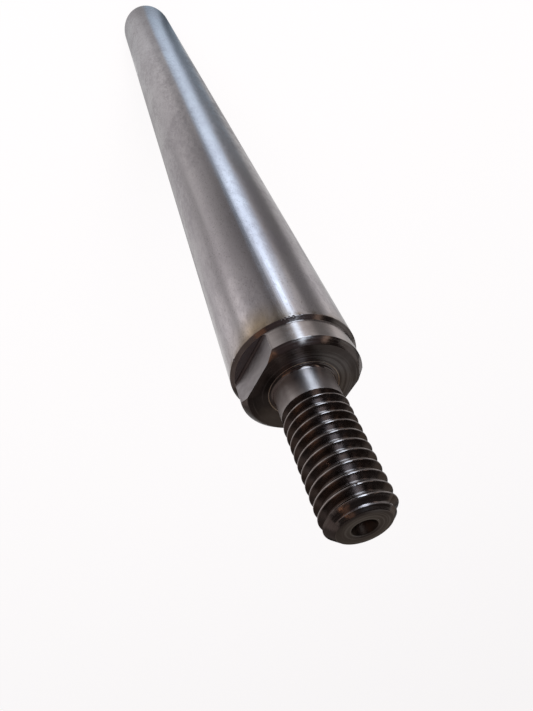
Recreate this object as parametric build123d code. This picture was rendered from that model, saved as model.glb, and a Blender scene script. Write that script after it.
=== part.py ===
from build123d import *
import math
import os

# A ground steel shaft, turned from one bar, with a wrench-flat collar, a plain neck and a threaded stud.
# It stands on its plain end. The origin is the middle of that end, Z runs up the axis to the stud,
# and the two wrench flats face +X and -X. All sizes are in millimetres.

# Ground body
BODY_DIAMETER = 16.0
BODY_LENGTH = 175.0
FOOT_CHAMFER = 0.5
SHOULDER_DEPTH = 0.35        # axial depth of the bevel from the body down to the collar

# Collar and its two wrench flats
COLLAR_DIAMETER = 15.0
COLLAR_LENGTH = 3.5
COLLAR_CHAMFER = 0.7
FLATS_ACROSS = 12.5
FLAT_CORNER_RADIUS = 0.3     # left by the cutter where a flat meets the shoulder

# Plain neck
NECK_DIAMETER = 7.5
NECK_LENGTH = 3.6
NECK_FILLET = 0.45

# Right-hand metric thread, M8 coarse
THREAD_NOMINAL = 8.0
THREAD_ALLOWANCE = 0.1       # how much smaller the crests are than the nominal diameter
PITCH = 1.25
THREAD_LENGTH = 14.6
FLANK_ANGLE = 30.0           # each flank, from square to the axis
THREAD_DEPTH = 0.6134        # nominal radius to root, for a pitch of 1
CREST_FLAT = 0.125           # width of the crest's flat, for a pitch of 1
END_FACE_DIAMETER = 5.75     # flat left inside the end chamfer
END_CHAMFER_LENGTH = 1.0     # measured along the axis

# Run-out groove between the neck and the first crest
RUNOUT_WIDTH = 0.6
RUNOUT_FLOOR = 0.1
RUNOUT_RELIEF = 0.05         # how much deeper it is than the thread's root

# Centre hole in the stud's end
CENTRE_MOUTH_DIAMETER = 2.7
CENTRE_PILOT_DIAMETER = 1.25
CENTRE_PILOT_LENGTH = 1.5
CENTRE_CONE_ANGLE = 30.0     # each side, from the axis
DRILL_TIP_ANGLE = 59.0       # each side, from the axis

# Cutters run past the metal by this much
OVERCUT = 1.0
GROOVE_OVERCUT = 0.06        # less than the crest flat allows, so that turns of the cut stay apart

BODY_R = BODY_DIAMETER / 2
COLLAR_R = COLLAR_DIAMETER / 2
NECK_R = NECK_DIAMETER / 2
THREAD_R = (THREAD_NOMINAL - THREAD_ALLOWANCE) / 2
ROOT_R = THREAD_NOMINAL / 2 - THREAD_DEPTH * PITCH
RUNOUT_R = ROOT_R - RUNOUT_RELIEF
END_FACE_R = END_FACE_DIAMETER / 2
FLANK_SLOPE = math.tan(math.radians(FLANK_ANGLE))

SHOULDER_Z = BODY_LENGTH + SHOULDER_DEPTH
SEAT_Z = SHOULDER_Z + COLLAR_LENGTH
THREAD_Z = SEAT_Z + NECK_LENGTH
RUNOUT_Z = THREAD_Z + (NECK_R - RUNOUT_R) * FLANK_SLOPE
STUD_END_Z = THREAD_Z + THREAD_LENGTH


def revolved(outline):
    """Solid of revolution about Z from a closed wire of (radius, z) points."""
    with BuildPart() as solid:
        with BuildSketch(Plane.XZ):
            with BuildLine():
                Polyline(*outline, close=True)
            make_face()
        revolve(axis=Axis.Z)
    return solid.part


def turned_blank():
    """Everything that the lathe turns, before the flats, the thread and the centre hole."""
    with BuildPart() as blank:
        with BuildSketch(Plane.XZ) as section:
            with BuildLine():
                Polyline(
                    (0, 0),
                    (BODY_R - FOOT_CHAMFER, 0),
                    (BODY_R, FOOT_CHAMFER),
                    (BODY_R, BODY_LENGTH),
                    (COLLAR_R, SHOULDER_Z),
                    (COLLAR_R, SEAT_Z - COLLAR_CHAMFER),
                    (COLLAR_R - COLLAR_CHAMFER, SEAT_Z),
                    (NECK_R, SEAT_Z),
                    (NECK_R, THREAD_Z),
                    (RUNOUT_R, RUNOUT_Z),
                    (RUNOUT_R, RUNOUT_Z + RUNOUT_FLOOR),
                    (THREAD_R, THREAD_Z + RUNOUT_WIDTH),
                    (THREAD_R, STUD_END_Z - END_CHAMFER_LENGTH),
                    (END_FACE_R, STUD_END_Z),
                    (0, STUD_END_Z),
                    close=True,
                )
            make_face()
            neck_corner = section.vertices().sort_by_distance((NECK_R, SEAT_Z))[0]
            fillet(neck_corner, NECK_FILLET)
        revolve(axis=Axis.Z)
    return blank.part


def flat_cutter():
    """Block that mills one wrench flat, with the cutter's rounded corner at the shoulder."""
    block = Box(
        COLLAR_R - FLATS_ACROSS / 2 + OVERCUT,
        COLLAR_DIAMETER + OVERCUT,
        COLLAR_LENGTH + OVERCUT,
        align=(Align.MIN, Align.CENTER, Align.MIN),
    )
    corner = block.edges().filter_by(Axis.Y).sort_by_distance((0, 0, 0))[0]
    return Pos(FLATS_ACROSS / 2, 0, SHOULDER_Z) * fillet(corner, FLAT_CORNER_RADIUS)


def helix_path(turns):
    """Helix at the crests' radius, made of one edge for each turn."""
    turn = Helix(PITCH, PITCH, THREAD_R)
    return Wire([(Pos(0, 0, PITCH * count) * turn).edges()[0] for count in range(turns)])


def thread_groove():
    """Thread cut: a flat-bottomed V swept along the helix, from inside the run-out groove past the end."""

    def half_width(radius):
        return PITCH * (1 - CREST_FLAT) / 2 - (THREAD_R - radius) * FLANK_SLOPE

    outer_r = THREAD_R + GROOVE_OVERCUT
    section = Polygon(
        (ROOT_R, -half_width(ROOT_R)),
        (outer_r, -half_width(outer_r)),
        (outer_r, half_width(outer_r)),
        (ROOT_R, half_width(ROOT_R)),
        align=None,
    )
    turns = math.ceil(THREAD_LENGTH / PITCH) + 1
    cut = sweep(Plane.XZ * section, path=helix_path(turns), is_frenet=True)
    neck_guard = Cylinder(
        THREAD_R + OVERCUT,
        NECK_LENGTH,
        align=(Align.CENTER, Align.CENTER, Align.MAX),
    )
    cut = Pos(0, 0, THREAD_Z - PITCH / 2) * cut
    return cut - Pos(0, 0, RUNOUT_Z + RUNOUT_FLOOR / 2) * neck_guard


def centre_hole():
    """Hole for the lathe centre: a 60 degree cone that leads to a short pilot hole."""
    mouth_r = CENTRE_MOUTH_DIAMETER / 2
    pilot_r = CENTRE_PILOT_DIAMETER / 2
    cone_slope = math.tan(math.radians(CENTRE_CONE_ANGLE))
    cone_z = STUD_END_Z - (mouth_r - pilot_r) / cone_slope
    pilot_z = cone_z - CENTRE_PILOT_LENGTH
    tip_z = pilot_z - pilot_r / math.tan(math.radians(DRILL_TIP_ANGLE))
    return revolved(
        [
            (0, tip_z),
            (pilot_r, pilot_z),
            (pilot_r, cone_z),
            (mouth_r + OVERCUT * cone_slope, STUD_END_Z + OVERCUT),
            (0, STUD_END_Z + OVERCUT),
        ]
    )


def shaft():
    """The whole shaft as one solid."""
    solid = turned_blank() - thread_groove() - centre_hole()
    for side in (0, 180):
        solid -= Rot(0, 0, side) * flat_cutter()
    return solid


os.makedirs("parts", exist_ok=True)
export_step(shaft(), "parts/shaft.step")
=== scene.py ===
"""A ground steel shaft with a wrench-flat collar, a plain neck and a threaded stud.

The metal is one closed mesh: a turned blank, from which a thread cutter, two flat cutters and
small marks of use are taken. Sizes are given in millimetres and held in metres.
"""
import math

import bmesh
import bpy
from mathutils import Matrix, Vector


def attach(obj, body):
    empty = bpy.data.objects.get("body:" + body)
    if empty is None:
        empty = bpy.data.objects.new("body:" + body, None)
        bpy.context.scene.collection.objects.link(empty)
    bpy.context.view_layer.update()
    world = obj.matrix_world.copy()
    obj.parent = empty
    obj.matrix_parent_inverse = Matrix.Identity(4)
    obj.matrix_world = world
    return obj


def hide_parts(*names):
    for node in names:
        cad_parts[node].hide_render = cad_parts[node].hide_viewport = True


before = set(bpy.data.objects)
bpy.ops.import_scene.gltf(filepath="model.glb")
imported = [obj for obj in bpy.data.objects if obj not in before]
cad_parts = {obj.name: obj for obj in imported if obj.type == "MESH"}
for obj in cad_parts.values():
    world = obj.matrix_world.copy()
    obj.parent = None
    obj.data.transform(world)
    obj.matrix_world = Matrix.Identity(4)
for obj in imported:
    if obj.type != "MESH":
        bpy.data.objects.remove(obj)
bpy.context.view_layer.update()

MM = 0.001

# ---------------------------------------------------------------- sizes of the shaft
BODY_R = 8.0 * MM
BODY_LENGTH = 175.0 * MM
FOOT_CHAMFER = 0.5 * MM
SHOULDER_DEPTH = 0.35 * MM    # axial depth of the bevel from the body down to the collar

COLLAR_R = 7.5 * MM
COLLAR_LENGTH = 3.5 * MM
COLLAR_CHAMFER = 0.7 * MM
FLATS_ACROSS = 12.5 * MM
FLAT_CORNER_RADIUS = 0.3 * MM

NECK_R = 3.75 * MM
NECK_LENGTH = 3.6 * MM
NECK_FILLET = 0.45 * MM
RIDGE_HEIGHT = 0.035 * MM     # fine ring left where the facing cut met the neck's fillet
RIDGE_WIDTH = 0.12 * MM
RIDGE_R = NECK_R + NECK_FILLET + 0.75 * RIDGE_WIDTH

THREAD_NOMINAL_R = 4.0 * MM
THREAD_R = 3.95 * MM          # the crests, a little under the nominal radius
THREAD_LENGTH = 14.6 * MM
PITCH = 1.25 * MM
THREAD_DEPTH = 0.6134         # nominal radius to root, for a pitch of 1
ROOT_R = THREAD_NOMINAL_R - THREAD_DEPTH * PITCH
CREST_FLAT = PITCH / 8
FLANK_SLOPE = math.tan(math.radians(30))
END_FACE_R = 2.875 * MM
END_CHAMFER_LENGTH = 1.0 * MM
RUNOUT_WIDTH = 0.6 * MM
RUNOUT_FLOOR = 0.1 * MM
RUNOUT_RELIEF = 0.05 * MM     # how much deeper the run-out groove is than the thread's root
RUNOUT_R = ROOT_R - RUNOUT_RELIEF

HOLE_MOUTH_R = 1.35 * MM
HOLE_PILOT_R = 0.625 * MM
HOLE_PILOT_LENGTH = 1.5 * MM
HOLE_CONE_SLOPE = math.tan(math.radians(30))
DRILL_TIP_SLOPE = math.tan(math.radians(59))

SHOULDER_Z = BODY_LENGTH + SHOULDER_DEPTH
SEAT_Z = SHOULDER_Z + COLLAR_LENGTH
THREAD_Z = SEAT_Z + NECK_LENGTH
RUNOUT_Z = THREAD_Z + (NECK_R - RUNOUT_R) * FLANK_SLOPE
STUD_END_Z = THREAD_Z + THREAD_LENGTH
HOLE_CONE_Z = STUD_END_Z - (HOLE_MOUTH_R - HOLE_PILOT_R) / HOLE_CONE_SLOPE
HOLE_PILOT_Z = HOLE_CONE_Z - HOLE_PILOT_LENGTH
HOLE_TIP_Z = HOLE_PILOT_Z - HOLE_PILOT_R / DRILL_TIP_SLOPE

# ---------------------------------------------------------------- how finely it is modelled
FACETS_ROUND = 192            # round the turned blank
FACETS_PER_TURN = 96          # round one turn of the thread
EDGE_BREAK = 0.035 * MM       # radius that handling leaves on every turned edge
EDGE_BREAK_STEPS = 2
NECK_FILLET_STEPS = 8
FLAT_CORNER_STEPS = 6
ROOT_CORNER = 0.09 * MM       # how much is rounded off each corner of the thread's root
ROOT_CORNER_STEPS = 3
CREST_ROUND = 0.07 * MM       # radius of the thread's crest
CREST_TURN = math.radians(60)  # how far its arc turns, from the flank to the flat
CREST_STEPS = 4
CREST_OVERRUN = 0.06 * MM     # how far the thread cutter stands out of the crest
BLOCK_OVERRUN = 1.0 * MM      # how far the other cutters stand out of the metal
SMOOTH_ANGLE = math.radians(35)
NEAR = 0.002 * MM             # two places closer than this are the same


# ---------------------------------------------------------------- modelling helpers
def select_only(piece):
    """Leaves one object selected and active."""
    bpy.ops.object.select_all(action="DESELECT")
    piece.select_set(True)
    bpy.context.view_layer.objects.active = piece


def edit(piece):
    """Opens one object for editing with nothing selected, and gives its edit mesh."""
    select_only(piece)
    bpy.ops.object.mode_set(mode="EDIT")
    bpy.ops.mesh.select_mode(type="VERT")
    bpy.ops.mesh.select_all(action="DESELECT")
    return bmesh.from_edit_mesh(piece.data)


def done():
    """Closes the object that is being edited."""
    bpy.ops.object.mode_set(mode="OBJECT")


def added(name):
    """The primitive that was just added, under its own name."""
    piece = bpy.context.object
    piece.name = name
    piece.data.name = name
    return piece


def settle(piece):
    """Puts the object's place and turn into its mesh."""
    select_only(piece)
    bpy.ops.object.transform_apply(location=True, rotation=True, scale=True)


def apply_modifier(piece, kind, **values):
    """Puts a modifier with those settings into the piece's mesh."""
    modifier = piece.modifiers.new(kind.lower(), kind)
    for key, value in values.items():
        setattr(modifier, key, value)
    select_only(piece)
    bpy.ops.object.modifier_apply(modifier=modifier.name)


def cut(piece, cutter):
    """Takes the cutter's shape out of the piece, and throws the cutter away."""
    apply_modifier(piece, "BOOLEAN", operation="DIFFERENCE", solver="EXACT", object=cutter)
    bpy.data.objects.remove(cutter)


def at_ring(vertex, radius, height):
    """Whether a vertex lies on the ring with that radius and height."""
    across = math.hypot(vertex.co.x, vertex.co.y)
    return abs(across - radius) < NEAR and abs(vertex.co.z - height) < NEAR


def round_ring(piece, radius, height, offset, segments):
    """Rounds the turned edge at that radius and height."""
    mesh = edit(piece)
    for edge in mesh.edges:
        edge.select = all(at_ring(vertex, radius, height) for vertex in edge.verts)
    bpy.ops.mesh.select_mode(type="EDGE")
    bpy.ops.mesh.bevel(offset=offset, segments=segments, affect="EDGES")
    done()


# ---------------------------------------------------------------- the metal
def turned_blank():
    """The shaft as the lathe leaves it, extruded upwards ring by ring from its foot."""
    body_and_collar = [
        (BODY_R, FOOT_CHAMFER),
        (BODY_R, BODY_LENGTH),
        (COLLAR_R, SHOULDER_Z),
        (COLLAR_R, SEAT_Z - COLLAR_CHAMFER),
        (COLLAR_R - COLLAR_CHAMFER, SEAT_Z),
    ]
    seat_and_neck = [
        (RIDGE_R + RIDGE_WIDTH / 2, SEAT_Z),
        (RIDGE_R, SEAT_Z + RIDGE_HEIGHT),
        (RIDGE_R - RIDGE_WIDTH / 2, SEAT_Z),
        (NECK_R, SEAT_Z),
        (NECK_R, THREAD_Z),
        (RUNOUT_R, RUNOUT_Z),
        (RUNOUT_R, RUNOUT_Z + RUNOUT_FLOOR),
    ]
    stud = [
        (THREAD_R, THREAD_Z + RUNOUT_WIDTH),
        (THREAD_R, STUD_END_Z - END_CHAMFER_LENGTH),
        (END_FACE_R, STUD_END_Z),
        (HOLE_MOUTH_R, STUD_END_Z),
    ]
    hole = [
        (HOLE_PILOT_R, HOLE_CONE_Z),
        (HOLE_PILOT_R, HOLE_PILOT_Z),
    ]
    foot_r = BODY_R - FOOT_CHAMFER
    bpy.ops.object.select_all(action="DESELECT")
    bpy.ops.mesh.primitive_circle_add(vertices=FACETS_ROUND, radius=foot_r, fill_type="NGON")
    blank = added("shaft_metal")
    edit(blank)
    bpy.ops.mesh.select_all(action="SELECT")
    last_r, last_z = foot_r, 0.0
    for radius, height in body_and_collar + seat_and_neck + stud + hole:
        rise = height - last_z
        share = radius / last_r
        bpy.ops.mesh.extrude_region_move(TRANSFORM_OT_translate={"value": (0, 0, rise)})
        bpy.ops.transform.resize(value=(share, share, 1), center_override=(0, 0, 0))
        last_r, last_z = radius, height
    rise = HOLE_TIP_Z - last_z
    bpy.ops.mesh.extrude_region_move(TRANSFORM_OT_translate={"value": (0, 0, rise)})
    bpy.ops.mesh.merge(type="CENTER")
    bpy.ops.mesh.select_all(action="SELECT")
    bpy.ops.mesh.normals_make_consistent(inside=False)
    done()
    round_ring(blank, NECK_R, SEAT_Z, NECK_FILLET, NECK_FILLET_STEPS)
    for radius, height in body_and_collar + stud:
        round_ring(blank, radius, height, EDGE_BREAK, EDGE_BREAK_STEPS)
    return blank


def thread_cutter():
    """The cut between two crests, wound up the stud as one closed bar.

    Its section starts as the V between root and crest, with the root's corners rounded. It is then
    extruded outwards step by step along the crests' arcs, which widen it until they meet the flat.
    """

    def half_width(radius):
        """Half the cut's width between its straight flanks."""
        return (PITCH - CREST_FLAT) / 2 - (THREAD_R - radius) * FLANK_SLOPE

    round_r = THREAD_R - CREST_ROUND / 2
    arc_half = half_width(THREAD_R) + CREST_ROUND * math.tan(CREST_TURN / 2)
    bpy.ops.object.select_all(action="DESELECT")
    bpy.ops.mesh.primitive_plane_add(size=1, rotation=(math.pi / 2, 0, 0))
    cutter = added("thread_cutter")
    settle(cutter)
    mesh = edit(cutter)
    # The plane's four corners become the V's.
    for vertex in mesh.verts:
        radius = round_r if vertex.co.x > 0 else ROOT_R
        side = math.copysign(half_width(radius), vertex.co.z)
        vertex.co = Vector((radius, 0, side))
    for vertex in mesh.verts:
        vertex.select = vertex.co.x < ROOT_R + NEAR
    bpy.ops.mesh.bevel(offset=ROOT_CORNER, segments=ROOT_CORNER_STEPS, affect="VERTICES")
    bpy.ops.mesh.select_all(action="DESELECT")
    mesh = bmesh.from_edit_mesh(cutter.data)
    for edge in mesh.edges:
        edge.select = all(abs(vertex.co.x - round_r) < NEAR for vertex in edge.verts)
    bpy.ops.mesh.select_mode(type="EDGE")
    steps = []
    for step in range(1, CREST_STEPS + 1):
        left = CREST_TURN * (1 - step / CREST_STEPS)
        radius = THREAD_R - CREST_ROUND * (1 - math.cos(left))
        steps.append((radius, arc_half - CREST_ROUND * math.sin(left)))
    steps.append((THREAD_R + CREST_OVERRUN, arc_half))
    last_r, last_half = round_r, half_width(round_r)
    for radius, half in steps:
        outwards = radius - last_r
        bpy.ops.mesh.extrude_region_move(TRANSFORM_OT_translate={"value": (outwards, 0, 0)})
        bpy.ops.transform.resize(value=(1, 1, half / last_half), center_override=(0, 0, 0))
        last_r, last_half = radius, half
    bpy.ops.mesh.select_all(action="SELECT")
    bpy.ops.mesh.dissolve_faces()
    bpy.ops.transform.translate(value=(0, 0, THREAD_Z - PITCH / 2))
    done()
    turns = math.ceil(THREAD_LENGTH / PITCH) + 1
    apply_modifier(
        cutter,
        "SCREW",
        screw_offset=PITCH,
        iterations=turns,
        steps=FACETS_PER_TURN,
        render_steps=FACETS_PER_TURN,
        use_merge_vertices=False,
    )
    # The two ends of the wound bar are closed.
    edit(cutter)
    bpy.ops.mesh.select_all(action="SELECT")
    bpy.ops.mesh.remove_doubles(threshold=NEAR / 10)
    bpy.ops.mesh.select_all(action="DESELECT")
    bpy.ops.mesh.select_mode(type="EDGE")
    bpy.ops.mesh.select_non_manifold()
    bpy.ops.mesh.fill_holes(sides=0)
    bpy.ops.mesh.select_all(action="SELECT")
    bpy.ops.mesh.normals_make_consistent(inside=False)
    done()
    cut(cutter, neck_guard())
    return cutter


def neck_guard():
    """Disc up to the middle of the run-out groove, which keeps the thread's cut out of the neck."""
    top = RUNOUT_Z + RUNOUT_FLOOR / 2
    bpy.ops.object.select_all(action="DESELECT")
    bpy.ops.mesh.primitive_cylinder_add(
        vertices=FACETS_ROUND,
        radius=THREAD_R + BLOCK_OVERRUN,
        depth=NECK_LENGTH,
        location=(0, 0, top - NECK_LENGTH / 2),
    )
    guard = added("neck_guard")
    settle(guard)
    return guard


def flat_cutter(side):
    """Block that mills one wrench flat, with the cutter's rounded corner at the shoulder."""
    depth = COLLAR_R - FLATS_ACROSS / 2 + BLOCK_OVERRUN
    width = 2 * COLLAR_R + BLOCK_OVERRUN
    height = COLLAR_LENGTH + BLOCK_OVERRUN
    bpy.ops.object.select_all(action="DESELECT")
    bpy.ops.mesh.primitive_cube_add(
        size=1,
        scale=(depth, width, height),
        location=(side * (FLATS_ACROSS + depth) / 2, 0, SHOULDER_Z + height / 2),
    )
    block = added("flat_cutter")
    settle(block)
    mesh = edit(block)
    for edge in mesh.edges:
        on_flat = all(abs(abs(vertex.co.x) - FLATS_ACROSS / 2) < NEAR for vertex in edge.verts)
        at_ledge = all(abs(vertex.co.z - SHOULDER_Z) < NEAR for vertex in edge.verts)
        edge.select = on_flat and at_ledge
    bpy.ops.mesh.select_mode(type="EDGE")
    bpy.ops.mesh.bevel(offset=FLAT_CORNER_RADIUS, segments=FLAT_CORNER_STEPS, affect="EDGES")
    done()
    return block


# Knocks from use: for each, its turn round the shaft in degrees, its radius, height and size.
KNOCKS = [
    (-56.6, THREAD_R + 0.04 * MM, 194.72 * MM, 0.27 * MM),
    (-65.4, THREAD_R + 0.08 * MM, 190.87 * MM, 0.2 * MM),
    (-51.0, BODY_R, BODY_LENGTH, 0.13 * MM),
    (-54.0, BODY_R, BODY_LENGTH, 0.17 * MM),
    (-57.5, BODY_R, BODY_LENGTH, 0.14 * MM),
    (-61.0, BODY_R, BODY_LENGTH, 0.18 * MM),
    (-66.5, BODY_R, BODY_LENGTH, 0.14 * MM),
    (4.5, BODY_R, BODY_LENGTH, 0.17 * MM),
]


def knock_cutter(turn, radius, height, size):
    """A small lump with sharp corners, turned its own way, which leaves a nick in an edge."""
    around = math.radians(turn)
    bpy.ops.object.select_all(action="DESELECT")
    bpy.ops.mesh.primitive_ico_sphere_add(
        subdivisions=1,
        radius=size,
        location=(radius * math.cos(around), radius * math.sin(around), height),
        rotation=(around, 3 * around, 0),
    )
    lump = added("knock_cutter")
    settle(lump)
    return lump


def shaft_metal():
    """The whole shaft as one closed mesh."""
    metal = turned_blank()
    cut(metal, thread_cutter())
    for side in (1, -1):
        cut(metal, flat_cutter(side))
    for knock in KNOCKS:
        cut(metal, knock_cutter(*knock))
    return metal


# ---------------------------------------------------------------- node helpers
def feed(tree, socket, value):
    """Joins another socket to this one, or sets it to a plain value."""
    if isinstance(value, bpy.types.NodeSocket):
        tree.links.new(value, socket)
    else:
        socket.default_value = value


def add_node(tree, kind, inputs=None, **values):
    """A node with its settings, and its inputs fed."""
    made = tree.nodes.new(kind)
    for key, value in values.items():
        setattr(made, key, value)
    for key, value in (inputs or {}).items():
        feed(tree, made.inputs[key], value)
    return made


def maths(tree, operation, *values):
    """One sum on up to three values."""
    inputs = dict(enumerate(values))
    return add_node(tree, "ShaderNodeMath", inputs, operation=operation).outputs[0]


def vector_maths(tree, operation, inputs, output="Vector"):
    """One sum on vectors."""
    return add_node(tree, "ShaderNodeVectorMath", inputs, operation=operation).outputs[output]


def weighted(tree, *parts):
    """The sum of the values, each times its weight."""
    total = 0.0
    for value, weight in parts:
        total = maths(tree, "ADD", total, maths(tree, "MULTIPLY", value, weight))
    return total


def ranged(tree, value, low, high, to_low=0.0, to_high=1.0):
    """The value between low and high, smoothly spread over the new range."""
    spread = add_node(tree, "ShaderNodeMapRange", {
        "Value": value,
        "From Min": low,
        "From Max": high,
        "To Min": to_low,
        "To Max": to_high,
    }, interpolation_type="SMOOTHSTEP")
    return spread.outputs[0]


def mixed(tree, share, first, second):
    """One colour turning into another."""
    mix = add_node(tree, "ShaderNodeMix", data_type="RGBA")
    for name, value in {"Factor": share, "A": first, "B": second}.items():
        socket = next(i for i in mix.inputs if i.name == name and i.enabled)
        feed(tree, socket, value)
    return next(o for o in mix.outputs if o.enabled)


def object_place(tree):
    """The point that is being coloured, in the object's own coordinates."""
    return add_node(tree, "ShaderNodeTexCoord").outputs["Object"]


def place_parts(tree):
    """X, Y and Z of the point that is being coloured."""
    return add_node(tree, "ShaderNodeSeparateXYZ", {0: object_place(tree)}).outputs


def new_group(name, inputs, output):
    """An empty node group with those inputs (name to default) and one float output."""
    tree = bpy.data.node_groups.new(name, "ShaderNodeTree")
    for label, value in inputs.items():
        kind = "NodeSocketVector" if isinstance(value, tuple) else "NodeSocketFloat"
        socket = tree.interface.new_socket(name=label, in_out="INPUT", socket_type=kind)
        socket.default_value = value
    tree.interface.new_socket(name=output, in_out="OUTPUT", socket_type="NodeSocketFloat")
    return tree, tree.nodes.new("NodeGroupInput"), tree.nodes.new("NodeGroupOutput")


def use_group(tree, group, inputs):
    """The output of a group that is fed those inputs."""
    return add_node(tree, "ShaderNodeGroup", inputs, node_tree=group).outputs[0]


def ring_marks_group():
    """Fine rings that a tool leaves round the axis, on cylinders, cones and faces alike."""
    tree, given, result = new_group("ring_marks", {"Spacing": 0.1 * MM}, "Height")
    parts = place_parts(tree)
    x_squared = maths(tree, "MULTIPLY", parts[0], parts[0])
    y_squared = maths(tree, "MULTIPLY", parts[1], parts[1])
    radius = maths(tree, "SQRT", maths(tree, "ADD", x_squared, y_squared))
    drift = 0.02
    flattened = add_node(tree, "ShaderNodeCombineXYZ", {
        0: maths(tree, "MULTIPLY", parts[0], drift),
        1: maths(tree, "MULTIPLY", parts[1], drift),
        2: maths(tree, "SUBTRACT", parts[2], radius),
    }).outputs[0]
    per_ring = maths(tree, "DIVIDE", 1.0, given.outputs["Spacing"])
    spaced = vector_maths(tree, "SCALE", {0: flattened, "Scale": per_ring})
    noise = add_node(tree, "ShaderNodeTexNoise", {"Vector": spaced, "Scale": 1.0, "Detail": 3.0})
    tree.links.new(noise.outputs[0], result.inputs["Height"])
    return tree


def smears_group():
    """Soft patches of oil and handling, stretched by the given scale."""
    inputs = {"Scale": (100.0, 100.0, 100.0), "Detail": 3.0}
    tree, given, result = new_group("smears", inputs, "Mask")
    stretched = vector_maths(tree, "MULTIPLY", {0: object_place(tree), 1: given.outputs["Scale"]})
    noise = add_node(tree, "ShaderNodeTexNoise", {
        "Vector": stretched,
        "Scale": 1.0,
        "Detail": given.outputs["Detail"],
        "Distortion": 0.4,
    })
    tree.links.new(ranged(tree, noise.outputs[0], 0.3, 0.7), result.inputs["Mask"])
    return tree


def spot_group():
    """One stain with a ragged edge."""
    inputs = {"Centre": (0.0, 0.0, 0.0), "Size": 0.5 * MM}
    tree, given, result = new_group("spot", inputs, "Mask")
    place = object_place(tree)
    away = vector_maths(tree, "DISTANCE", {0: place, 1: given.outputs["Centre"]}, "Value")
    share = maths(tree, "DIVIDE", away, given.outputs["Size"])
    noise = add_node(tree, "ShaderNodeTexNoise", {"Vector": place, "Scale": 2500.0, "Detail": 2.0})
    ragged = maths(tree, "ADD", share, maths(tree, "SUBTRACT", noise.outputs[0], 0.5))
    tree.links.new(ranged(tree, ragged, 0.1, 1.1, 0.8, 0.0), result.inputs["Mask"])
    return tree


RING_MARKS = ring_marks_group()
SMEARS = smears_group()
SPOT = spot_group()


def ring_marks(tree, spacing):
    """Height of the tool's rings, that far apart."""
    return use_group(tree, RING_MARKS, {"Spacing": spacing})


def smears(tree, across, along=None, detail=3.0):
    """Mask of soft patches: the scales across the shaft and along it give patches to the metre."""
    scale = (across, across, along or across)
    return use_group(tree, SMEARS, {"Scale": scale, "Detail": detail})


# ---------------------------------------------------------------- finishes
QUARTER_TURN = 0.25
BRIGHT_RING = (0.55, 0.52, 0.51, 1)
RUST = (0.16, 0.075, 0.04, 1)

# Stains on the thread: the centre of each, and how far it spreads.
THREAD_STAINS = [
    ((2.06 * MM, -3.28 * MM, 193.2 * MM), 0.22 * MM),
    ((3.06 * MM, -1.9 * MM, 192.16 * MM), 0.35 * MM),
]


def metal_material(name, brushed=0.0):
    """A bare metal. Where it is brushed round the axis, its highlights spread along the shaft."""
    material = bpy.data.materials.new(name)
    material.use_nodes = True
    tree = material.node_tree
    shader = tree.nodes["Principled BSDF"]
    shader.inputs["Metallic"].default_value = 1.0
    if brushed:
        shader.inputs["Anisotropic"].default_value = brushed
        shader.inputs["Anisotropic Rotation"].default_value = QUARTER_TURN
        around = add_node(tree, "ShaderNodeTangent", direction_type="RADIAL", axis="Z")
        tree.links.new(around.outputs[0], shader.inputs["Tangent"])
    return material, tree, shader


def dress(tree, shader, colour, roughness):
    """Feeds the metal its colour and its roughness."""
    tree.links.new(colour, shader.inputs["Base Color"])
    tree.links.new(roughness, shader.inputs["Roughness"])


def bump(tree, shader, height, distance):
    """Makes the surface uneven, where a height of 1 stands that far out."""
    made = add_node(tree, "ShaderNodeBump", {"Height": height, "Distance": distance})
    tree.links.new(made.outputs[0], shader.inputs["Normal"])


def ground_body():
    """Ground steel under a film of oil: cloudy all over, and singed gold beside the collar."""
    cool_steel = (0.55, 0.53, 0.59, 1)
    warm_steel = (0.58, 0.53, 0.54, 1)
    oily_steel = (0.44, 0.395, 0.42, 1)
    gold = (0.42, 0.32, 0.22, 1)
    dark_pit = (0.2, 0.17, 0.16, 1)
    brown_dirt = (0.26, 0.2, 0.16, 1)
    material, tree, shader = metal_material("ground_body", 0.7)
    x, y, z = place_parts(tree)
    streaks = smears(tree, 130.0, 22.0)
    clouds = smears(tree, 210.0, 90.0, 5.0)
    grain = smears(tree, 1500.0, 600.0)
    steel = mixed(tree, ranged(tree, z, 0.0, 120 * MM, 1.0, 0.0), warm_steel, cool_steel)
    oil = weighted(tree, (streaks, 0.5), (clouds, 0.35), (grain, 0.15))
    colour = mixed(tree, oil, steel, oily_steel)
    # The gold lies in the last 5 mm below the collar, on the side of the flat that faces +X.
    near_collar = ranged(tree, z, BODY_LENGTH - 5 * MM, BODY_LENGTH)
    by_flat = ranged(tree, x, 3.5 * MM, 6 * MM, 0.2, 1.0)
    one_half = ranged(tree, y, -3.5 * MM, 0.5 * MM, 1.0, 0.2)
    singed = maths(tree, "MULTIPLY", near_collar, maths(tree, "MULTIPLY", by_flat, one_half))
    cloudy = ranged(tree, clouds, 0.0, 0.8, 0.35, 1.0)
    colour = mixed(tree, maths(tree, "MULTIPLY", singed, cloudy), colour, gold)
    pits = ranged(tree, smears(tree, 4500.0, 3000.0), 0.8, 1.0)
    colour = mixed(tree, maths(tree, "MULTIPLY", pits, 0.3), colour, dark_pit)
    rim = ranged(tree, z, BODY_LENGTH - 0.9 * MM, BODY_LENGTH)
    colour = mixed(tree, maths(tree, "MULTIPLY", rim, smears(tree, 900.0)), colour, brown_dirt)
    cloudy_grain = maths(tree, "ADD", clouds, grain)
    dress(tree, shader, colour, ranged(tree, cloudy_grain, 0.0, 2.0, 0.12, 0.27))
    waves = smears(tree, 60.0, 25.0, 1.0)
    rings = ring_marks(tree, 0.08 * MM)
    bump(tree, shader, weighted(tree, (waves, 80.0), (rings, 1.0)), 0.0006 * MM)
    return material


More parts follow.
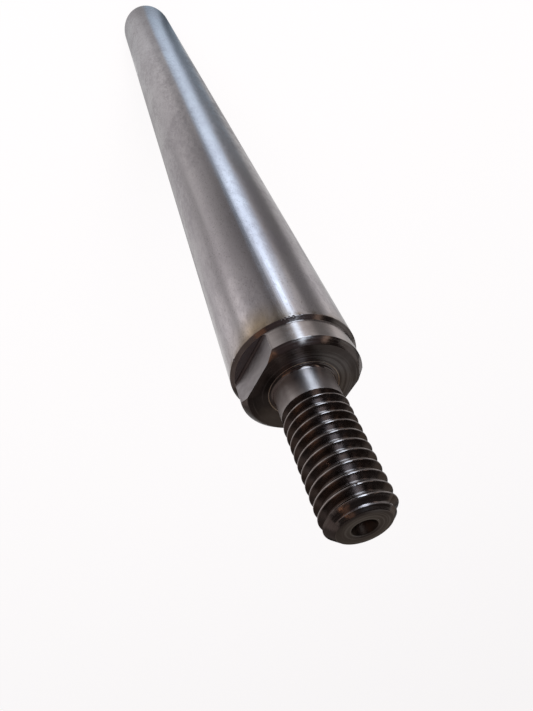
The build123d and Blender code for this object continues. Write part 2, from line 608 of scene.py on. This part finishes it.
def turned_steel(name, brushed, clean, oily, smear_scale, smoothest):
    """Turned steel with the tool's fine rings, from clean to oily."""
    material, tree, shader = metal_material(name, brushed)
    rings = ring_marks(tree, 0.07 * MM)
    oil = weighted(tree, (smears(tree, smear_scale), 0.7), (rings, 0.4))
    colour = mixed(tree, oil, clean, oily)
    dress(tree, shader, colour, ranged(tree, rings, 0.3, 0.7, smoothest, smoothest + 0.1))
    bump(tree, shader, rings, 0.0012 * MM)
    return material


def faced_steel(name, brushed, clean, oily, ring_share):
    """Cut by a facing tool and left oily and dark, with some brighter rings."""
    material, tree, shader = metal_material(name, brushed)
    rings = ring_marks(tree, 0.25 * MM)
    fine_rings = ring_marks(tree, 0.05 * MM)
    colour = mixed(tree, smears(tree, 400.0), clean, oily)
    bright = ranged(tree, rings, 0.5, 0.62, 0.0, ring_share)
    colour = mixed(tree, bright, colour, BRIGHT_RING)
    dress(tree, shader, colour, ranged(tree, rings, 0.3, 0.7, 0.14, 0.24))
    bump(tree, shader, weighted(tree, (rings, 3.0), (fine_rings, 1.0)), 0.0015 * MM)
    return material


def milled_flat():
    """The wrench flats and their ledges, dull from the milling cutter."""
    clean = (0.5, 0.46, 0.46, 1)
    oily = (0.42, 0.38, 0.39, 1)
    material, tree, shader = metal_material("milled_flat")
    patches = use_group(tree, SMEARS, {"Scale": (500.0, 300.0, 500.0)})
    grain = use_group(tree, SMEARS, {"Scale": (2500.0, 900.0, 2500.0)})
    colour = mixed(tree, patches, clean, oily)
    dress(tree, shader, colour, ranged(tree, grain, 0.0, 1.0, 0.4, 0.54))
    bump(tree, shader, grain, 0.003 * MM)
    return material


def rusted(tree, shader, colour):
    """The thread's colour with rusty stains on it, where the metal is no longer bare."""
    bare = 1.0
    for centre, size in THREAD_STAINS:
        stain = use_group(tree, SPOT, {"Centre": centre, "Size": size})
        colour = mixed(tree, stain, colour, RUST)
        bare = maths(tree, "SUBTRACT", bare, stain)
    tree.links.new(maths(tree, "MAXIMUM", bare, 0.15), shader.inputs["Metallic"])
    return colour


def cut_thread():
    """Dark oily flanks with brown stains, and brighter crests: partly rubbed wear, partly a painted
    highlight.
    """
    dark_oil = (0.23, 0.2, 0.195, 1)
    brown_oil = (0.175, 0.13, 0.11, 1)
    # The crests' brighter colour is partly rubbed wear and partly a painted highlight.
    rubbed_and_glint = (0.47, 0.41, 0.395, 1)
    material, tree, shader = metal_material("cut_thread", 0.15)
    x, y, _ = place_parts(tree)
    flat = add_node(tree, "ShaderNodeCombineXYZ", {0: x, 1: y}).outputs[0]
    radius = vector_maths(tree, "LENGTH", {0: flat}, "Value")
    crest = ranged(tree, radius, THREAD_R - 0.09 * MM, THREAD_R - 0.01 * MM)
    grain = smears(tree, 3000.0)
    colour = mixed(tree, smears(tree, 450.0), dark_oil, brown_oil)
    colour = rusted(tree, shader, mixed(tree, crest, colour, rubbed_and_glint))
    roughness = ranged(tree, grain, 0.0, 1.0, 0.2, 0.28)
    smoother = maths(tree, "MULTIPLY", crest, 0.07)
    dress(tree, shader, colour, maths(tree, "SUBTRACT", roughness, smoother))
    bump(tree, shader, grain, 0.0006 * MM)
    return material


def burr_and_glint_ring():
    """The fine ring round the foot of the neck, a burr whose bright orange colour is a painted
    glint.
    """
    # Painted highlight: the edge's orange glint is painted into the metal's colour.
    bright = (0.95, 0.86, 0.76, 1)
    brown = (0.8, 0.6, 0.42, 1)
    material, tree, shader = metal_material("burr_and_glint_ring", 0.5)
    patches = smears(tree, 500.0)
    colour = mixed(tree, patches, bright, brown)
    dress(tree, shader, colour, ranged(tree, patches, 0.0, 1.0, 0.34, 0.48))
    return material


def oil_and_shade_recess():
    """The centre hole, painted near-black as painted shade, with brown patches of dried oil."""
    # Near-black base: painted shade inside the hole.
    shade_black = (0.045, 0.036, 0.032, 1)
    brown_oil = (0.1, 0.066, 0.05, 1)
    material, tree, shader = metal_material("oil_and_shade_recess")
    patches = smears(tree, 900.0, 500.0)
    colour = mixed(tree, patches, shade_black, brown_oil)
    dress(tree, shader, colour, ranged(tree, patches, 0.0, 1.0, 0.35, 0.5))
    bump(tree, shader, patches, 0.01 * MM)
    return material


def finishes():
    """Every finish of the metal."""
    return [
        ground_body(),
        turned_steel(
            "turned_collar",
            brushed=0.8,
            clean=(0.64, 0.575, 0.565, 1),
            oily=(0.44, 0.375, 0.36, 1),
            smear_scale=350.0,
            smoothest=0.12,
        ),
        turned_steel(
            "turned_neck",
            brushed=0.75,
            clean=(0.7, 0.64, 0.63, 1),
            oily=(0.5, 0.43, 0.42, 1),
            smear_scale=500.0,
            smoothest=0.34,
        ),
        # The rounded corner between flat and ledge is painted dark: painted shade, which hides the
        # light line its curve would reflect.
        turned_steel(
            "painted_shade_corner",
            brushed=0.0,
            clean=(0.27, 0.235, 0.235, 1),
            oily=(0.2, 0.165, 0.165, 1),
            smear_scale=900.0,
            smoothest=0.4,
        ),
        faced_steel(
            "faced_seat",
            brushed=0.0,
            clean=(0.2, 0.175, 0.168, 1),
            oily=(0.15, 0.124, 0.116, 1),
            ring_share=0.35,
        ),
        faced_steel(
            "turned_chamfer",
            brushed=0.7,
            clean=(0.36, 0.317, 0.31, 1),
            oily=(0.28, 0.235, 0.22, 1),
            ring_share=0.4,
        ),
        milled_flat(),
        cut_thread(),
        burr_and_glint_ring(),
        oil_and_shade_recess(),
    ]


# How far a face's normal leans, by its parts along the axes.
WALL = 0.3        # its rise, where the face stands upright
FLOOR = 0.99      # its rise, where the face is turned square to the shaft
MILLED = 0.9999   # its part along X or Z, where the face is a wrench flat or its ledge
STRAIGHT = 0.01   # its part along Y, where the face runs straight across the shaft


def zone(face):
    """Which finish a face of the metal has, by its place and the way it looks."""
    centre = face.calc_center_median()
    radius = math.hypot(centre.x, centre.y)
    upright = abs(face.normal.z) < WALL
    on_stud = THREAD_Z + NEAR < centre.z < STUD_END_Z - END_CHAMFER_LENGTH + EDGE_BREAK
    if on_stud and radius > RUNOUT_R - EDGE_BREAK and face.normal.z < FLOOR:
        return "cut_thread"
    if centre.z < BODY_LENGTH and upright:
        return "ground_body"
    # The centre hole, painted dark as painted shade.
    if radius < HOLE_MOUTH_R and centre.z > HOLE_TIP_Z:
        return "oil_and_shade_recess"
    # The burr ring, coloured as a painted glint.
    if abs(radius - RIDGE_R) < RIDGE_WIDTH / 2 and SEAT_Z + NEAR < centre.z < SEAT_Z + RIDGE_HEIGHT:
        return "burr_and_glint_ring"
    if SHOULDER_Z - NEAR < centre.z < SEAT_Z and abs(centre.x) > FLATS_ACROSS / 2 - NEAR:
        if abs(face.normal.x) > MILLED or face.normal.z > MILLED:
            return "milled_flat"
        # The flat's rounded corner, painted dark as painted shade.
        if abs(face.normal.y) < STRAIGHT:
            return "painted_shade_corner"
    if centre.z > SEAT_Z and upright:
        return "turned_neck"
    if centre.z > BODY_LENGTH and upright:
        return "turned_collar"
    if face.normal.z > FLOOR:
        return "faced_seat"
    return "turned_chamfer"


def paint(metal):
    """Gives each face of the metal its finish."""
    for made in finishes():
        metal.data.materials.append(made)
    names = [material.name for material in metal.data.materials]
    mesh = edit(metal)
    bpy.ops.mesh.select_mode(type="FACE")
    faces_of = {name: [] for name in names}
    for face in mesh.faces:
        faces_of[zone(face)].append(face.index)
    for slot, name in enumerate(names):
        bpy.ops.mesh.select_all(action="DESELECT")
        mesh = bmesh.from_edit_mesh(metal.data)
        mesh.faces.ensure_lookup_table()
        for index in faces_of[name]:
            mesh.faces[index].select = True
        metal.active_material_index = slot
        bpy.ops.object.material_slot_assign()
    done()


# ---------------------------------------------------------------- table, lights and camera
ROOM_R = 0.5
TABLE_SIZE = 6.0
CARD_LIFT = 0.1 * MM        # how far the graded card lies above the table
DOME_STEP = 3               # degrees across each face of the dome
TABLE_GLOW = 0.88           # how far the table is bright by itself, where it is looked at
SURROUNDINGS = 0.45         # strength of the white surroundings as a light

WHITE = (1.0, 1.0, 1.0, 1.0)
PAPER = (0.86, 0.85, 0.85, 1)
BACKDROP = (0.995, 0.975, 0.98, 1)
STREAK = (0.70, 0.85, 1.0, 1.0)
DARK = (0.024, 0.02, 0.019, 1.0)


def bare_material(name):
    """A material whose surface is still to be joined."""
    material = bpy.data.materials.new(name)
    material.use_nodes = True
    tree = material.node_tree
    tree.nodes.remove(tree.nodes["Principled BSDF"])
    return material, tree


def surface(tree, shader):
    """Makes a shader node the material's surface."""
    tree.links.new(shader.outputs[0], tree.nodes["Material Output"].inputs["Surface"])


def light_material(name, colour, strength):
    """A plain glow."""
    material, tree = bare_material(name)
    surface(tree, add_node(tree, "ShaderNodeEmission", {"Color": colour, "Strength": strength}))
    return material


def seen_directly(tree):
    """1 where a ray comes from the camera, a mirror-like surface or glass."""
    path = add_node(tree, "ShaderNodeLightPath").outputs
    mirrored = maths(tree, "MAXIMUM", path["Is Glossy Ray"], path["Is Transmission Ray"])
    return maths(tree, "MAXIMUM", path["Is Camera Ray"], mirrored)


def table_top():
    """Plain white table, bright by itself where it is looked at, which still takes the shadow."""
    bpy.ops.object.select_all(action="DESELECT")
    bpy.ops.mesh.primitive_plane_add(size=TABLE_SIZE)
    table = added("table_top")
    material, tree = bare_material("white_table")
    paper = add_node(tree, "ShaderNodeBsdfDiffuse", {"Color": PAPER})
    glow = add_node(tree, "ShaderNodeEmission", {"Color": BACKDROP, "Strength": 1.0})
    share = maths(tree, "MULTIPLY", seen_directly(tree), TABLE_GLOW)
    both = {0: share, 1: paper.outputs[0], 2: glow.outputs[0]}
    surface(tree, add_node(tree, "ShaderNodeMixShader", both))
    table.data.materials.append(material)


def only_reflected(piece):
    """A card that polished metal reflects, and that nothing else sees."""
    piece.visible_camera = False
    piece.visible_diffuse = False
    piece.visible_transmission = False
    piece.visible_shadow = False
    piece.visible_volume_scatter = False


def sectors(tree, turn, stops, blue):
    """Light by azimuth: the stops are degrees and brightness, daylight blue between two of them."""
    made = add_node(tree, "ShaderNodeValToRGB", {"Fac": turn})
    ramp = made.color_ramp
    while len(ramp.elements) < len(stops):
        ramp.elements.new(0.5)
    for element, (azimuth, light) in zip(ramp.elements, stops):
        element.position = azimuth / 360 + 0.5
        cast = STREAK if blue[0] < azimuth < blue[1] else WHITE
        element.color = tuple(light * part for part in cast[:3]) + (1,)
    return made.outputs[0]


def table_card():
    """Graded card on the table, whose bright and dark sectors make the body's bands."""
    bpy.ops.object.select_all(action="DESELECT")
    bpy.ops.mesh.primitive_circle_add(
        vertices=96,
        radius=ROOM_R,
        fill_type="NGON",
        location=(0, 0, CARD_LIFT),
    )
    card = added("table_card")
    settle(card)
    material, tree = bare_material("graded_card")
    place = object_place(tree)
    dial = add_node(tree, "ShaderNodeTexGradient", {"Vector": place}, gradient_type="RADIAL")
    turn = dial.outputs["Fac"]
    at_foot = sectors(tree, turn, [
        (-180, 1.15), (-163, 0.75), (-142, 0.36), (-121, 0.12), (-108, 0.18), (-96, 0.42),
        (-82, 0.52), (-68, 0.46), (-56, 0.36), (-44, 0.38), (-22, 0.48), (0, 0.54), (31, 0.43),
        (52, 0.42), (73, 1.05), (94, 1.9), (115, 1.8), (180, 1.15),
    ], blue=(-150, -60))
    low_down = sectors(tree, turn, [
        (-180, 0.56), (-163, 0.47), (-142, 0.4), (-121, 0.29), (-110, 0.32), (-102, 0.6),
        (-94, 1.05), (-82, 1.15), (-68, 0.95), (-58, 0.45), (-44, 0.47), (-33, 0.6), (-22, 0.65),
        (0, 0.6), (31, 0.58), (52, 0.56), (73, 0.5), (94, 0.42), (115, 0.5), (180, 0.56),
    ], blue=(-150, -60))
    half_way = sectors(tree, turn, [
        (-180, 0.6), (-163, 0.52), (-152, 0.42), (-142, 0.17), (-121, 0.2), (-110, 0.26),
        (-103, 0.5), (-94, 1.3), (-84, 1.95), (-72, 1.95), (-62, 0.4), (-54, 0.2), (-44, 0.22),
        (-22, 0.36), (-5, 0.55), (8, 0.58), (16, 0.38), (23, 0.36), (34, 0.55), (52, 0.6),
        (94, 0.6), (115, 0.28), (150, 0.7), (180, 0.6),
    ], blue=(-98, -60))
    far_out = sectors(tree, turn, [
        (-180, 0.55), (-165, 0.72), (-152, 0.8), (-142, 0.42), (-131, 0.23), (-112, 0.22),
        (-103, 0.5), (-93, 0.62), (-85, 0.85), (-79, 2.7), (-75, 2.7), (-68, 0.5), (-60, 0.22),
        (-52, 0.18), (-44, 0.3), (-33, 0.42), (-22, 0.48), (-8, 0.66), (2, 0.98), (11, 0.92),
        (19, 0.5), (25, 0.48), (34, 0.72), (50, 0.85), (73, 0.6), (94, 0.75), (120, 0.76),
        (180, 0.55),
    ], blue=(-84, -69))
    # The body's upper parts reflect the card further out.
    away = vector_maths(tree, "LENGTH", {0: place}, "Value")
    light = mixed(tree, ranged(tree, away, 5 * MM, 25 * MM), at_foot, low_down)
    light = mixed(tree, ranged(tree, away, 30 * MM, 90 * MM), light, half_way)
    light = mixed(tree, ranged(tree, away, 100 * MM, 160 * MM), light, far_out)
    falling = ranged(tree, away, 170 * MM, 240 * MM, 1.0, 0.6)
    surface(tree, add_node(tree, "ShaderNodeEmission", {"Color": light, "Strength": falling}))
    card.data.materials.append(material)
    only_reflected(card)


def room_dome():
    """Dark room above the table, with strip lights, as the collar sees it."""
    # Name, colour, strength, and the azimuths and elevations it spans. A later one lies on top.
    lights = [
        ("dark_room", DARK, 1.0, (-180, 180), (-90, 90)),
        ("dim_wall", (0.15, 0.128, 0.12, 1), 1.0, (-24, 90), (-24, 45)),
        ("brown_ceiling", (0.17, 0.1, 0.07, 1), 1.0, (-18, 30), (66, 78)),
        ("brown_patch", (0.8, 0.4, 0.22, 1), 1.0, (3, 18), (54, 60)),
        ("near_wall", (0.075, 0.06, 0.062, 1), 1.0, (-111, -24), (24, 57)),
        ("back_wall", (0.075, 0.062, 0.058, 1), 1.0, (114, 138), (30, 51)),
        ("far_wall", (0.2, 0.195, 0.19, 1), 1.0, (138, 180), (33, 57)),
        ("low_wall", (0.15, 0.132, 0.115, 1), 1.0, (108, 180), (3, 33)),
        ("side_wall", (0.2, 0.195, 0.19, 1), 1.0, (-180, -138), (0, 24)),
        ("low_strip", STREAK, 3.6, (-87, -63), (-24, 24)),
        ("high_strip", STREAK, 2.5, (-81, -72), (24, 42)),
        ("strip_end", STREAK, 1.0, (-81, -72), (42, 45)),
        ("warm_patch", (0.34, 0.19, 0.12, 1), 1.0, (-24, -3), (39, 48)),
        ("warm_strip", (1.0, 0.78, 0.66, 1), 0.45, (-120, -111), (-24, 40)),
        ("far_card", WHITE, 0.14, (144, 165), (-24, -3)),
        ("right_card", WHITE, 0.42, (165, 180), (-18, -3)),
        ("left_card", WHITE, 0.2, (90, 111), (-24, -6)),
        ("dim_edge", (0.07, 0.06, 0.056, 1), 1.0, (84, 111), (-6, 45)),
        ("back_card", WHITE, 0.25, (-162, -108), (-24, -3)),
        ("side_card", WHITE, 0.4, (24, 84), (-24, -6)),
    ]
    bpy.ops.object.select_all(action="DESELECT")
    bpy.ops.mesh.primitive_uv_sphere_add(
        segments=360 // DOME_STEP,
        ring_count=180 // DOME_STEP,
        radius=ROOM_R,
        location=(0, 0, SEAT_Z),
    )
    dome = added("room_dome")
    settle(dome)
    for name, colour, strength, _, _ in lights:
        dome.data.materials.append(light_material(name, colour, strength))
    mesh = edit(dome)
    for face in mesh.faces:
        centre = face.calc_center_median()
        azimuth = math.degrees(math.atan2(centre.y, centre.x))
        away = math.hypot(centre.x, centre.y)
        elevation = math.degrees(math.atan2(centre.z - SEAT_Z, away))
        for index, (_, _, _, (start, end), (low, high)) in enumerate(lights):
            if start <= azimuth <= end and low <= elevation <= high:
                face.material_index = index
    bpy.ops.mesh.select_mode(type="FACE")
    for face in mesh.faces:
        face.select = face.calc_center_median().z < 0
    bpy.ops.mesh.delete(type="FACE")
    done()
    only_reflected(dome)


def world_light():
    """White surroundings where they are looked at, and a softer light from them on everything."""
    world = bpy.data.worlds.new("soft_white")
    world.use_nodes = True
    tree = world.node_tree
    back = tree.nodes["Background"]
    back.inputs["Color"].default_value = BACKDROP
    strength = ranged(tree, seen_directly(tree), 0.0, 1.0, SURROUNDINGS, 1.0)
    tree.links.new(strength, back.inputs["Strength"])
    bpy.context.scene.world = world


def lamp(name, place, aim, size, power):
    """A soft square lamp that metal doesn't reflect."""
    data = bpy.data.lights.new(name, "AREA")
    data.size = size
    data.energy = power
    made = bpy.data.objects.new(name, data)
    made.location = place
    made.rotation_euler = (Vector(aim) - Vector(place)).to_track_quat("-Z", "Y").to_euler()
    made.visible_glossy = False
    bpy.context.scene.collection.objects.link(made)


# The camera looks down on the stud from beside it, turned over so that the foot is at the top.
IMAGE_WIDTH_PX = 533
FOCAL_PX = 533.8
CAMERA_PLACE = Vector((33.65, -33.93, 218.97)) * MM
CAMERA_LOOK = Vector((-0.47023, 0.53021, -0.70552))
CAMERA_UP = Vector((0.16311, -0.73343, -0.6599))


def camera():
    """The camera, with its picture's upper edge towards CAMERA_UP."""
    data = bpy.data.cameras.new("camera")
    data.sensor_fit = "HORIZONTAL"
    data.lens = data.sensor_width * FOCAL_PX / IMAGE_WIDTH_PX
    data.clip_start = 1 * MM
    made = bpy.data.objects.new("camera", data)
    right = CAMERA_LOOK.cross(CAMERA_UP).normalized()
    up = right.cross(CAMERA_LOOK).normalized()
    turned = Matrix((right, up, -CAMERA_LOOK.normalized())).transposed().to_4x4()
    made.matrix_world = Matrix.Translation(CAMERA_PLACE) @ turned
    bpy.context.scene.collection.objects.link(made)
    bpy.context.scene.camera = made


shaft = shaft_metal()
paint(shaft)
select_only(shaft)
bpy.ops.object.shade_smooth_by_angle(angle=SMOOTH_ANGLE)
apply_modifier(shaft, "WEIGHTED_NORMAL", keep_sharp=True, weight=100)
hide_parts("shaft")
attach(shaft, "root")

table_top()
table_card()
room_dome()
world_light()
lamp("soft_lamp", place=(0.25, -0.35, 0.8), aim=(0, 0, 0.05), size=0.5, power=9.0)
camera()

bpy.context.scene.view_settings.view_transform = "Standard"
